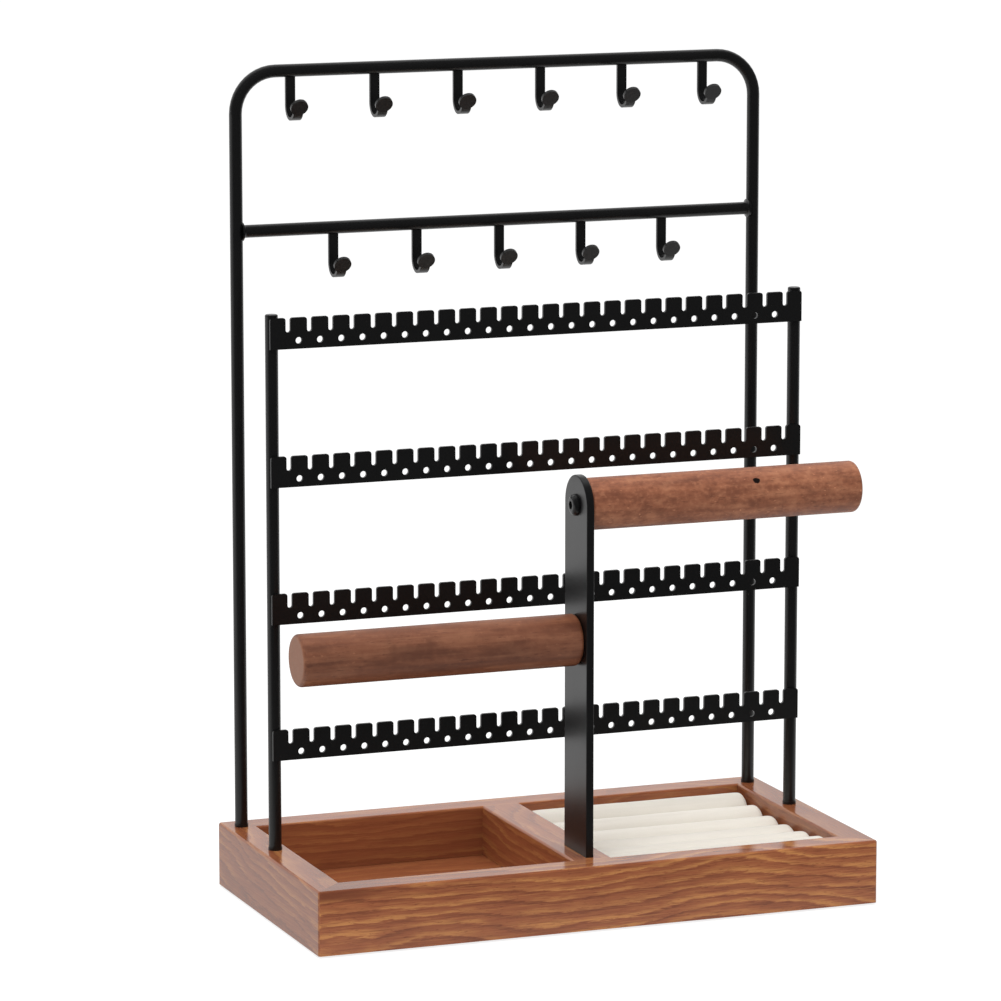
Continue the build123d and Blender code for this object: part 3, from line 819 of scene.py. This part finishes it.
class StandStageOperator(bpy.types.Operator):
    """Set up the floor, the light and the camera"""

    bl_idname = "stand.stage"
    bl_label = "Stage"

    WHITE = (1.0, 1.0, 1.0, 1.0)
    LIT_FLOOR = (0.6, 0.6, 0.6, 1.0)    # colour of the floor as it lights the stand
    VEIL = (0.3, 0.3, 0.3, 1.0)         # part of the floor's white that the stand's shadow takes away
    GLOW = 0.8                          # part of the floor's white that no shadow reaches
    RISE_SHARE = 0.5                    # how much height counts beside depth in what a gloss shows
    BRIGHT_FROM = 0.25                  # depth of a direction at which the room starts to be bright
    BRIGHT_FULL = 0.85                  # depth of a direction at which the room is brightest
    FLOOR_FROM = -2.6                   # where the floor starts to be bright, in half depths of the base
    FLOOR_FULL = -0.9                   # where the floor is brightest, in half depths of the base
    FLOOR_REACH = 20.0                  # reach of the floor, in heights of the stand
    VIEW_END = 100.0                    # how far the camera sees

    def execute(self, context):
        scene = context.scene
        stage = scene.stand_stage
        self.make_world(scene, stage)
        self.make_floor(scene, stage)
        self.make_lamp(scene, "key", stage.key_place, stage.key_power, stage.lamp_size)
        self.make_lamp(scene, "top", stage.top_place, stage.top_power, stage.lamp_size)
        self.make_camera(scene, stage)
        scene.view_settings.view_transform = "Standard"
        return {"FINISHED"}

    def make_world(self, scene, stage):
        """White all round to the camera, and in a gloss bright behind and above, dark in front."""
        scene.world = bpy.data.worlds.new("studio")
        scene.world.use_nodes = True
        scene.world.node_tree.nodes.clear()
        graph = Graph(scene.world.node_tree)
        camera, gloss = ray_kinds(graph)
        direction = graph.node("ShaderNodeTexCoord")["Generated"]
        way = graph.node("ShaderNodeSeparateXYZ", inputs={"Vector": direction})
        bright = (way["Y"] + way["Z"] * self.RISE_SHARE).step(self.BRIGHT_FROM, self.BRIGHT_FULL)
        shown = stage.front_gloss + bright * (stage.back_gloss - stage.front_gloss)
        strength = camera + gloss * shown + (1 - camera) * (1 - gloss) * stage.ambient
        light = {"Color": self.WHITE, "Strength": strength}
        background = graph.node("ShaderNodeBackground", inputs=light)
        graph.node("ShaderNodeOutputWorld", inputs={"Surface": background})

    def make_floor(self, scene, stage):
        """A pale floor that stays white to the camera but for the shadow, and darkens in a gloss in front."""
        reach = self.FLOOR_REACH * CAD_BOX[1].z
        depth = CAD_BOX[1].y
        mesh = bpy.data.meshes.new("floor")
        corners = [(-reach, -reach, 0), (reach, -reach, 0), (reach, reach, 0), (-reach, reach, 0)]
        mesh.from_pydata(corners, [], [(0, 1, 2, 3)])
        floor = bpy.data.objects.new("floor", mesh)
        scene.collection.objects.link(floor)
        material, graph = new_material("pale_floor")
        camera, gloss = ray_kinds(graph)
        spot = graph.node("ShaderNodeTexCoord")["Object"]
        axes = graph.node("ShaderNodeSeparateXYZ", inputs={"Vector": spot})
        behind = axes["Y"].step(self.FLOOR_FROM * depth, self.FLOOR_FULL * depth)
        shown = stage.front_gloss + behind * (stage.back_gloss - stage.front_gloss)
        lit = graph.node("ShaderNodeBsdfDiffuse", inputs={"Color": self.LIT_FLOOR})
        veil = graph.node("ShaderNodeBsdfDiffuse", inputs={"Color": self.VEIL})
        glow = graph.node("ShaderNodeEmission", inputs={"Color": self.WHITE, "Strength": self.GLOW})
        white = graph.node("ShaderNodeAddShader", inputs={0: veil, 1: glow})
        grey = graph.node("ShaderNodeCombineColor", inputs={"Red": shown, "Green": shown, "Blue": shown})
        mirrored = graph.node("ShaderNodeEmission", inputs={"Color": grey, "Strength": 1.0})
        other = graph.node("ShaderNodeMixShader", inputs={0: gloss, 1: lit, 2: mirrored})
        surface = graph.node("ShaderNodeMixShader", inputs={0: camera, 1: other, 2: white})
        graph.node("ShaderNodeOutputMaterial", inputs={"Surface": surface})
        mesh.materials.append(material)

    def make_lamp(self, scene, name, away, watts, size):
        """A square soft lamp away from the middle of the stand, which no gloss shows."""
        lamp = bpy.data.objects.new(name, bpy.data.lights.new(name, "AREA"))
        lamp.data.size = size
        lamp.data.energy = watts
        lamp.location = Vector((0, 0, CAD_BOX[1].z / 2)) + Vector(away)
        lamp.rotation_euler = (-Vector(away)).to_track_quat("-Z", "Y").to_euler()
        lamp.visible_glossy = False
        scene.collection.objects.link(lamp)

    def make_camera(self, scene, stage):
        """The camera of the photograph."""
        camera = bpy.data.objects.new("camera", bpy.data.cameras.new("camera"))
        camera.data.lens = stage.lens
        camera.data.clip_end = self.VIEW_END
        camera.location = stage.camera_place
        camera.rotation_euler = (math.pi / 2 - stage.camera_pitch, 0, -stage.camera_yaw)
        scene.collection.objects.link(camera)
        scene.camera = camera


class StandPanel(bpy.types.Panel):
    """The stand's operators in the sidebar"""

    bl_idname = "VIEW3D_PT_stand"
    bl_label = "Jewellery stand"
    bl_space_type = "VIEW_3D"
    bl_region_type = "UI"
    bl_category = "Stand"

    def draw(self, context):
        for operator in OPERATORS:
            self.layout.operator(operator.bl_idname)


GROUPS = {
    "stand_wood": StandWood,
    "stand_steel": StandSteel,
    "stand_cushion": StandCushion,
    "stand_stage": StandStage,
}
OPERATORS = (
    StandBaseOperator,
    StandFrameOperator,
    StandRackOperator,
    StandHolderOperator,
    StandCushionOperator,
    StandStageOperator,
)
CLASSES = (*GROUPS.values(), *OPERATORS, StandPanel)


def register():
    """Register the classes and put their properties on the scene."""
    for cls in CLASSES:
        bpy.utils.register_class(cls)
    for name, group in GROUPS.items():
        setattr(bpy.types.Scene, name, PointerProperty(type=group))


def unregister():
    """Take the properties off the scene and unregister the classes."""
    for name in GROUPS:
        delattr(bpy.types.Scene, name)
    for cls in reversed(CLASSES):
        bpy.utils.unregister_class(cls)


def main():
    """Register the operators and dress the stand."""
    register()
    bpy.ops.stand.base()
    bpy.ops.stand.necklace_frame()
    bpy.ops.stand.earring_rack()
    bpy.ops.stand.bracelet_holder()
    bpy.ops.stand.ring_cushion()
    bpy.ops.stand.stage()


if __name__ == "__main__":
    main()
